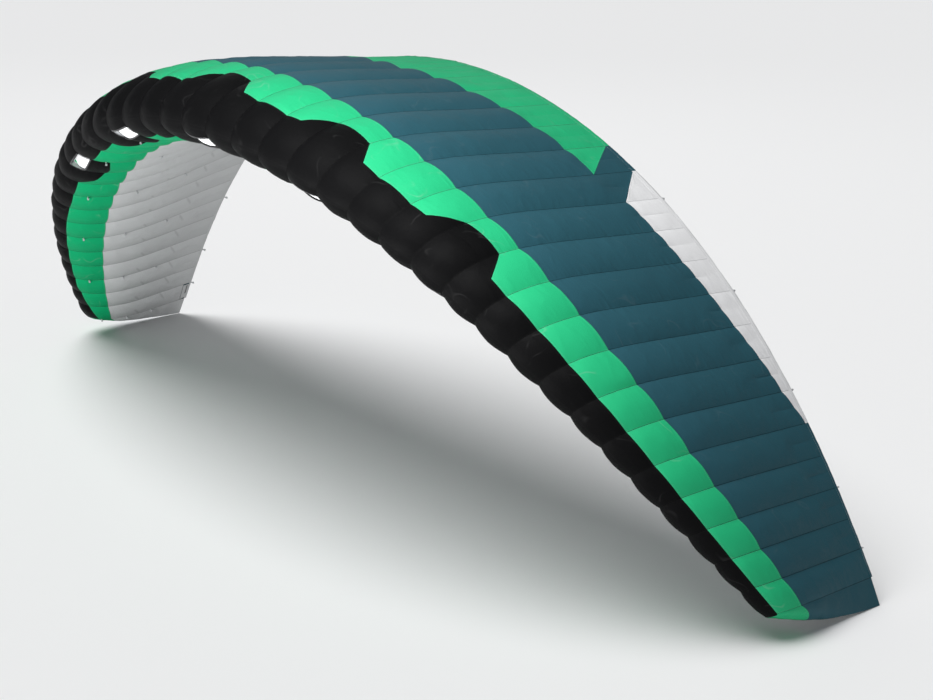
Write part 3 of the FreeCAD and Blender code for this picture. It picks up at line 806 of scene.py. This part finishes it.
def ribbonMesh(path, normal, width, thick):
    # points and faces of a flat strap along a path, with bevelled edges
    path, normal = np.asarray(path, float), np.asarray(normal, float)
    ahead = unit(np.gradient(path, axis=0))
    normal = unit(normal - ahead * np.sum(normal * ahead, axis=-1, keepdims=True))
    aside = np.cross(ahead, normal)
    half, deep, flat = width / 2.0, thick / 2.0, width * 0.47
    ring = [(-half, 0.0), (-flat, deep), (flat, deep), (half, 0.0), (flat, -deep), (-flat, -deep)]
    points = np.stack([path + aside * a + normal * b for a, b in ring], axis=1)
    rows, columns = points.shape[:2]
    faces = gridFaces(rows, columns, True)[:, ::-1]
    last = (rows - 1) * columns
    ends = [(0, 5, 4, 3), (0, 3, 2, 1), (last + 3, last + 4, last + 5, last), (last + 1, last + 2, last + 3, last)]
    return points.reshape(-1, 3), np.concatenate([faces, ends])


def stitchMesh(start, end, normal, thick):
    # one thread between each pair of points, lying on the cloth
    along = end - start
    aside = unit(np.cross(along, normal)) * (thick / 2.0)
    top = unit(normal) * (thick * 0.7)
    sink = unit(normal) * (-thick * 0.3)
    ring = [start + sink - aside * 0.6, start + sink + aside * 0.6]
    for middle in (start + along * 0.25, end - along * 0.25):
        ring += [middle + sink + aside, middle + top + aside * 0.5, middle + top - aside * 0.5, middle + sink - aside]
    ring += [end + sink - aside * 0.6, end + sink + aside * 0.6]
    points = np.stack(ring, axis=1)
    quads = [
        (1, 2, 3, 3), (0, 1, 3, 4), (0, 4, 5, 5), (2, 6, 7, 3), (3, 7, 8, 4), (4, 8, 9, 5),
        (6, 11, 7, 7), (7, 11, 10, 8), (8, 10, 9, 9),
    ]
    faces = []
    for q in quads:
        faces += [(q[0], q[1], q[2])] if q[2] == q[3] else [(q[0], q[1], q[2]), (q[0], q[2], q[3])]
    faces = (np.arange(len(start)) * 12)[:, None, None] + np.array(faces)[None]
    return points.reshape(-1, 3), faces.reshape(-1, 3)


def joined(parts):
    points, faces, base = [], [], 0
    for p, f in parts:
        points.append(p)
        faces.append(np.asarray(f) + base)
        base += len(p)
    return np.concatenate(points), np.concatenate(faces)


def alongSpan(first, last, v, upper, lift, step):
    # evenly spaced points along the cloth from rib to rib, with the way it faces
    c = np.linspace(first, last, max(3, int(abs(last - first) * 40)))
    line = surface(c, np.full_like(c, v), upper, lift)
    length = np.concatenate([[0.0], np.cumsum(np.linalg.norm(np.diff(line, axis=0), axis=1))])
    at = np.arange(0.0, length[-1], step)
    c = np.interp(at, length, c)
    here = surface(c, np.full_like(c, v), upper, lift)
    over = surface(c, np.full_like(c, v), upper, lift + 0.004)
    return here, unit(over - here)


def stitchLine(first, last, v, upper, lift, step=0.0042, thick=0.0006):
    here, normal = alongSpan(first, last, v, upper, lift, step)
    ahead = here[1:] - here[:-1]
    return stitchMesh(here[:-1] + ahead * 0.14, here[:-1] + ahead * 0.80, normal[:-1], thick)


# folded tape on the trailing edge
tape = {
    "upperLap": 0.9795, "upperTurn": 0.9905, "lowerLap": 0.9815, "lowerTurn": 0.9915, "end": 0.9995,
    "lift": 0.0010, "back": 0.0016, "perCell": 12, "unevenness": 0.0004, "wide": 0.025,
}
tapeRuns = [
    ("edgeTapeGreen", -5.5, 5.5, greenCloth, "green_cloth"),
    ("edgeTapeCornerLeft", -6.5, -5.5, petrolCloth, "petrol_cloth"),
    ("edgeTapeCornerRight", 5.5, 6.5, petrolCloth, "petrol_cloth"),
    ("edgeTapeWhiteLeft", -14.5, -6.5, whiteCloth, "white_cloth"),
    ("edgeTapeWhiteRight", 6.5, 14.5, whiteCloth, "white_cloth"),
    ("edgeTapePetrolLeft", -19.5, -14.5, petrolCloth, "petrol_cloth"),
    ("edgeTapePetrolRight", 14.5, 19.5, petrolCloth, "petrol_cloth"),
    ("edgeTapePale", -19.5, 19.5, paleCloth, "pale_cloth"),
]
tapeSeams = []
for name, first, last, material, slot in tapeRuns:
    c = np.linspace(first, last, int((last - first) * tape["perCell"]) + 1)

    def edgeLine(v, upper):
        return surface(c, np.full_like(c, v), upper, tape["lift"])

    upperLap, upperTurn, endUpper = [edgeLine(tape[key], True) for key in ("upperLap", "upperTurn", "end")]
    lowerLap, lowerTurn, endLower = [edgeLine(tape[key], False) for key in ("lowerLap", "lowerTurn", "end")]
    back = unit(endUpper - upperLap) * tape["back"]
    if name == "edgeTapePale":
        rows = [lowerLap, lowerTurn, endLower + back * 0.2, 0.5 * (endUpper + endLower) + back]
    else:
        rows = [0.5 * (endUpper + endLower) + back, endUpper + back * 0.2, upperTurn, upperLap]
    points = np.array(rows)
    points[..., 2] += tape["unevenness"] * noise(c * 6.0, c * 0.0, 71)
    faces = gridFaces(len(rows), len(c))
    span = np.cumsum(np.concatenate([[0.0], np.linalg.norm(np.diff(points[1], axis=0), axis=1)]))
    down = np.linspace(0.0, tape["wide"], len(rows))
    local = np.broadcast_to(np.mod(span, 0.9)[None, :], (len(rows), len(c))).ravel()[faces]
    deep = np.broadcast_to(down[:, None], (len(rows), len(c))).ravel()[faces]
    piece = makeMesh(name, points, faces, uvSet(local, deep))
    dress(piece, material, "canopy", ["trailing_edge_tape"])
    long = float(span[-1])
    meshArea(piece) / long
    if name != "edgeTapePale":
        tapeSeams.append((first, last))

seamParts = [stitchLine(first, last, 0.9830, True, 0.0013) for first, last in tapeSeams]
seamParts += [stitchLine(first, last, 0.9850, False, 0.0013) for first, last in tapeSeams]
piece = makeMesh("tapeStitches", *joined(seamParts))
dress(piece, threadPale, "canopy")
print("trailing edge ready")

# intakes and their valves
intakeLook = {
    "hemWide": 0.008, "hemThick": 0.0020, "sideWide": 0.0050, "sideThick": 0.0014,
    "inset": 0.026, "sideGap": 0.012, "lap": 0.014,
    "rise": 0.021, "puff": 0.016, "wrinkle": 0.0018, "round": 0.10,
}


def skinRibbon(first, last, v, upper, lift, width, thick, step=0.006):
    here, normal = alongSpan(first, last, v, upper, lift, step)
    return ribbonMesh(here, normal, width, thick)


def flatAcross(cell, across, v, depth):
    a = onOutline(shareOf(cell - 0.5), angleOf(v, False), -depth)
    b = onOutline(shareOf(cell + 0.5), angleOf(v, False), -depth)
    return a + (b - a) * across


hems, threads = [], []
for cell, word in zip(intakes["cells"], intakes["words"]):
    first, last = cell - 0.478, cell + 0.478
    for v in (intakes["start"] - 0.0022, intakes["end"] + 0.0030):
        hems.append(skinRibbon(first, last, v, False, 0.0006, intakeLook["hemWide"], intakeLook["hemThick"]))
        threads.append(stitchLine(first + 0.02, last - 0.02, v + 0.0015, False, 0.0019))
        threads.append(stitchLine(first + 0.02, last - 0.02, v - 0.0012, False, 0.0019))
    # the sides of the opening are bound as well
    for edge in (-0.482, 0.482):
        v = np.linspace(intakes["start"], intakes["end"], 20)
        c = np.full_like(v, cell + edge)
        here = surface(c, v, False, 0.0004)
        over = surface(c, v, False, 0.004)
        hems.append(ribbonMesh(here, over - here, intakeLook["sideWide"], intakeLook["sideThick"]))
    # the flap, a soft sheet hinged behind the front edge
    body = "intake_valve_" + word
    hinge = flatAcross(cell, 0.5, intakes["start"], intakeLook["inset"])
    rear = flatAcross(cell, 0.5, intakes["end"], intakeLook["inset"])
    ends = [onOutline(shareOf(cell + q), angleOf(0.03, False), 0.0) for q in (-0.01, 0.01)]
    span = unit(ends[1] - ends[0])
    back = rear - hinge
    back = back - span * back.dot(span)
    length = float(np.linalg.norm(back)) + intakeLook["lap"]
    back = unit(back)
    inside = unit(np.cross(span, back))
    inside = inside if inside[2] > 0 else -inside
    half = float(cellOf(np.array(float(cell)))[2]) / 2.0 - intakeLook["sideGap"]

    def onFlap(u, w, over):
        # u runs across the flap from -1 to 1, w back along it from 0 to 1
        look = intakeLook
        sag = -look["rise"] * (1.0 - 0.25 * u ** 8) * smooth(w, 0.0, 0.85)
        sag = sag - look["puff"] * (1.0 - u * u) * smooth(w, 0.0, 0.45)
        small = noise(u * 5.0 + 50.0, w * 2.0 + cell + 20.0, 81)
        sag = sag + look["wrinkle"] * small * (0.3 + w) * (1.0 - w * 0.4)
        sag = sag * np.minimum(w * 6.0, 1.0)
        far = w * length * (1.0 - look["round"] * np.abs(u) ** 8)
        return hinge + span * (u * half)[..., None] + back * far[..., None] + inside * (sag + 0.0006 + over)[..., None]

    a, b = np.meshgrid(np.linspace(-1.0, 1.0, 41), np.linspace(0.0, 1.0, 21))
    points = onFlap(a, b, 0.0)
    faces = gridFaces(*a.shape)
    local = (a * half + half).ravel()[faces]
    deep = (b * length).ravel()[faces]
    toSide = ((1.0 - np.abs(a)) * half).ravel()[faces] + 0.004
    toRear = ((1.0 - b) * length).ravel()[faces] + 0.0006
    flap = makeMesh("valveFlap_" + word, points, faces, uvSet(local, deep, toSide, toRear))
    dress(flap, valveCloth, body, ["intake_valve_" + word])
    # a green corner at one side, and a rolled hem round the free edges
    inward = -1.0 if cell >= 0 else 1.0
    if abs(cell) == 8:
        inward = -inward
    pa, pb = np.meshgrid(np.linspace(0.0, 1.0, 13), np.linspace(0.0, 1.0, 13))
    atA = inward * (1.0 - 0.42 * pa * (1.0 - pb))
    atB = 0.04 + 0.80 * pb
    patch = onFlap(atA, atB, -0.0005)
    patchFaces = gridFaces(*pa.shape)
    uvs = uvSet((pa * half).ravel()[patchFaces], (pb * length).ravel()[patchFaces])
    corner = makeMesh("valveCorner_" + word, patch, patchFaces, uvs)
    dress(corner, greenCloth, body)
    rim = 0.985
    u = np.concatenate([np.full(14, -rim), np.linspace(-rim, rim, 40)[1:-1], np.full(14, rim)])
    w = np.concatenate([np.linspace(0.02, rim, 14), np.full(38, rim), np.linspace(rim, 0.02, 14)])
    strap = ribbonMesh(onFlap(u, w, 0.0), np.broadcast_to(inside, (len(u), 3)), 0.006, 0.0016)
    hem = makeMesh("valveHem_" + word, *strap)
    dress(hem, valveCloth, body)
    hem.data.uv_layers.new(name="cloth")
    flat = (2.0 * half, meshArea(flap) / (2.0 * half))
piece = makeMesh("intakeHems", *joined(hems))
dress(piece, tapeCloth, "canopy", ["intake_hems"])
piece = makeMesh("intakeStitches", *joined(threads))
dress(piece, threadDark, "canopy")
print("intakes ready")

# drain flaps, which the last cells carry under the trailing edge
drain = {"start": 0.9268, "end": 0.9832, "side": 0.44, "wide": 0.15, "lift": 0.0012}
for side, word in ((-1, "left"), (1, "right")):
    cell = side * float(kite["drainCell"])
    aside = np.linspace(-drain["side"], drain["side"], 33)
    c, v = np.meshgrid(cell + aside, np.linspace(drain["end"], drain["start"], 15))
    points = surface(c, v, False, drain["lift"])
    faces = gridFaces(*c.shape)
    chord = float(chordAt(shareOf(cell)))
    local = ((c - cell + 0.5) * drain["wide"]).ravel()[faces]
    deep = (v * chord).ravel()[faces]
    toSide = (np.minimum(c - c.min(), c.max() - c) * drain["wide"] + 0.0004).ravel()[faces]
    toEdge = (np.minimum(v - v.min(), v.max() - v) * chord + 0.0004).ravel()[faces]
    uvs = uvSet(local + 60.0, deep, toSide + 0.01, np.minimum(toEdge, toSide))
    flap = makeMesh("drainFlap_" + word, points, faces, uvs)
    dress(flap, paleCloth, "drain_flap_" + word, ["drain_flap_" + word])
    wide = float(np.linalg.norm(points[0, -1] - points[0, 0]))
    meshArea(flap) / wide
    "lower_main_panels_" + word
print("drain flaps ready")

# loops for the lines
loops = {
    "ribs": (1.5, 4.5, 7.5, 10.5, 13.5, 16.5, 19.5), "brake": (7.5, 10.5, 13.5, 16.5, 18.5),
    "rows": {"front": 0.11, "middle": 0.34, "rear": 0.60, "brake": 1.0},
    "drop": 0.016, "eye": 0.0059, "wide": 0.008, "thick": 0.0016, "tack": 0.0032,
}


def loopMesh(top, out, aside, axis):
    # webbing folded round an eye, both ends sewn into the seam
    angle = np.linspace(math.radians(128.0), math.radians(412.0), 31)
    centre = top + out * loops["drop"]
    ring = centre + (aside * np.cos(angle)[:, None] - out * np.sin(angle)[:, None]) * loops["eye"]
    legA = [top + out * h - aside * (0.0009 + h * 0.02) for h in np.linspace(0.0006, 0.0090, 6)]
    legB = [top + out * h + aside * (0.0009 + h * 0.02) for h in np.linspace(0.0090, 0.0006, 6)]
    path = np.concatenate([legA, ring, legB])
    facing = [np.broadcast_to(aside, (6, 3)), unit(centre - ring), np.broadcast_to(-aside, (6, 3))]
    strap = ribbonMesh(path, np.concatenate(facing), loops["wide"], loops["thick"])
    bars = []
    for h in np.linspace(0.0034, 0.0070, 5):
        for face in (-1.0, 1.0):
            middle = top + out * h + aside * (face * 0.0021)
            start, end = middle - axis * loops["tack"], middle + axis * loops["tack"]
            bars.append(stitchMesh(start[None], end[None], (aside * face)[None], 0.0007))
    return strap, joined(bars)


bars = []
for row, v in loops["rows"].items():
    straps = []
    for rib in loops["brake" if row == "brake" else "ribs"]:
        for side in (-1.0, 1.0):
            share = shareOf(side * rib)
            turn = math.copysign(leanAt(abs(share)), share)
            spanDir = np.array([math.cos(turn), 0.0, -math.sin(turn)])
            if row == "brake":
                along, above = section(share, np.array(math.pi))
                top = place(share, along, above)
                out = unit(place(share, along + 0.001, above - 0.0006) - top)
                aside = unit(np.cross(spanDir, out))
                strap, bar = loopMesh(top, out, aside, spanDir)
            else:
                top = onOutline(share, angleOf(v, False), 0.0)
                out = unit(onOutline(share, angleOf(v, False), 0.01) - top)
                axis = unit(np.cross(spanDir, out))
                strap, bar = loopMesh(top, out, spanDir, axis)
            straps.append(strap)
            bars.append(bar)
    name = "brake_loops" if row == "brake" else "line_loops_" + row
    piece = makeMesh("sewnLoops_" + row, *joined(straps))
    dress(piece, paleWebbing, "canopy", [name])
piece = makeMesh("barTacks", *joined(bars))
dress(piece, threadPale, "canopy")
print("loops ready")

# the parts inside keep their own shape and get cloth, tape and rod finishes
inner = {
    "rib": ribCloth, "mini": ribCloth, "diagonal": ribCloth, "batten_pockets": ribCloth,
    "webbing": tapeCloth, "strips": tapeCloth, "closure": hookLoop,
}
rod, start, shader = newMaterial("rodPlastic")
speck = start.node("ShaderNodeTexCoord", {}, {}, "Object").noise(60.0, 3.0)
rodTint = speck.mix((0.62, 0.64, 0.58), (0.72, 0.73, 0.68))
finishMaterial(start, shader, {"Base Color": rodTint, "Roughness": 0.34 + speck * 0.12}, {})
inner["nose_battens"] = rod
for name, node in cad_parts.items():
    if node.hide_render:
        continue
    for word, material in inner.items():
        if word in name:
            node.data.materials.clear()
            node.data.materials.append(material)
print("inner parts ready")

# floor, light and camera
floorLook = {"half": 90.0, "colour": (0.88, 0.88, 0.88), "drop": 0.003}
h = floorLook["half"]
floor = makeMesh("floor", [(-h, -h, 0), (h, -h, 0), (h, h, 0), (-h, h, 0)], [(0, 1, 2, 3)])
floor.location.z = boxLow.z - floorLook["drop"]
paper, start, shader = newMaterial("paper")
finishMaterial(start, shader, {}, {"Base Color": floorLook["colour"] + (1.0,), "Roughness": 0.85})
floor.data.materials.append(paper)


def areaLight(name, spot, aim, size, power):
    data = bpy.data.lights.new(name, "AREA")
    data.shape = "RECTANGLE"
    data.size, data.size_y = size
    data.energy = power
    lamp = bpy.data.objects.new(name, data)
    lamp.location = spot
    lamp.rotation_mode = "QUATERNION"
    lamp.rotation_quaternion = (Vector(aim) - Vector(spot)).to_track_quat("-Z", "Y")
    lamp.visible_camera = False
    bpy.context.scene.collection.objects.link(lamp)
    return lamp


suns = {"energy": {"key": 1.0, "floorLight": 1.6}, "angle": 0.8, "way": (1.4, 2.4, -7.8)}
softBox = areaLight("softBox", (2.0, -2.6, 4.3), (1.2, 0.0, 1.6), (2.2, 2.2), 150.0)
lowFill = areaLight("lowFill", (0.6, -5.0, 0.6), (-2.6, 0.0, 0.8), (1.6, 1.0), 215.0)
areaLight("back", (-8.0, 6.0, 7.0), (0.0, 0.0, 1.4), (7.0, 5.0), 60.0)
# the soft box and the low fill skip the floor, and one sun lights only the floor
notFloor = bpy.data.collections.new("notFloor")
notFloor.objects.link(floor)
notFloor.collection_objects[0].light_linking.link_state = "EXCLUDE"
for lamp in (softBox, lowFill):
    lamp.light_linking.receiver_collection = notFloor
onlyFloor = bpy.data.collections.new("onlyFloor")
onlyFloor.objects.link(floor)
for name, energy in suns["energy"].items():
    data = bpy.data.lights.new(name, "SUN")
    data.energy = energy
    data.angle = suns["angle"]
    lamp = bpy.data.objects.new(name, data)
    lamp.rotation_mode = "QUATERNION"
    lamp.rotation_quaternion = Vector(suns["way"]).to_track_quat("-Z", "Y")
    bpy.context.scene.collection.objects.link(lamp)
    if name == "floorLight":
        lamp.light_linking.receiver_collection = onlyFloor
world = bpy.data.worlds.new("room")
world.use_nodes = True
sky = world.node_tree.nodes["Background"]
sky.inputs[0].default_value = (0.93, 0.96, 1.0, 1.0)
sky.inputs[1].default_value = 0.17
bpy.context.scene.world = world
bpy.context.scene.view_settings.view_transform = "Standard"

view = {"spot": (9.5128, -7.2247, 4.4966), "turn": (-0.8620988, -0.3061295, 0.0211974), "lens": 85.29}
lensData = bpy.data.cameras.new("camera")
lensData.sensor_width = 36.0
lensData.lens = view["lens"]
lensData.clip_end = 300.0
camera = bpy.data.objects.new("camera", lensData)
yaw, pitch, roll = view["turn"]
ahead = Vector((math.sin(yaw) * math.cos(pitch), math.cos(yaw) * math.cos(pitch), math.sin(pitch)))
aside = Vector((math.cos(yaw), -math.sin(yaw), 0.0))
over = aside.cross(ahead)
right = aside * math.cos(roll) + over * math.sin(roll)
up = over * math.cos(roll) - aside * math.sin(roll)
turn = Matrix((right, up, -ahead)).transposed()
camera.matrix_world = Matrix.Translation(view["spot"]) @ turn.to_4x4()
bpy.context.scene.collection.objects.link(camera)
bpy.context.scene.camera = camera
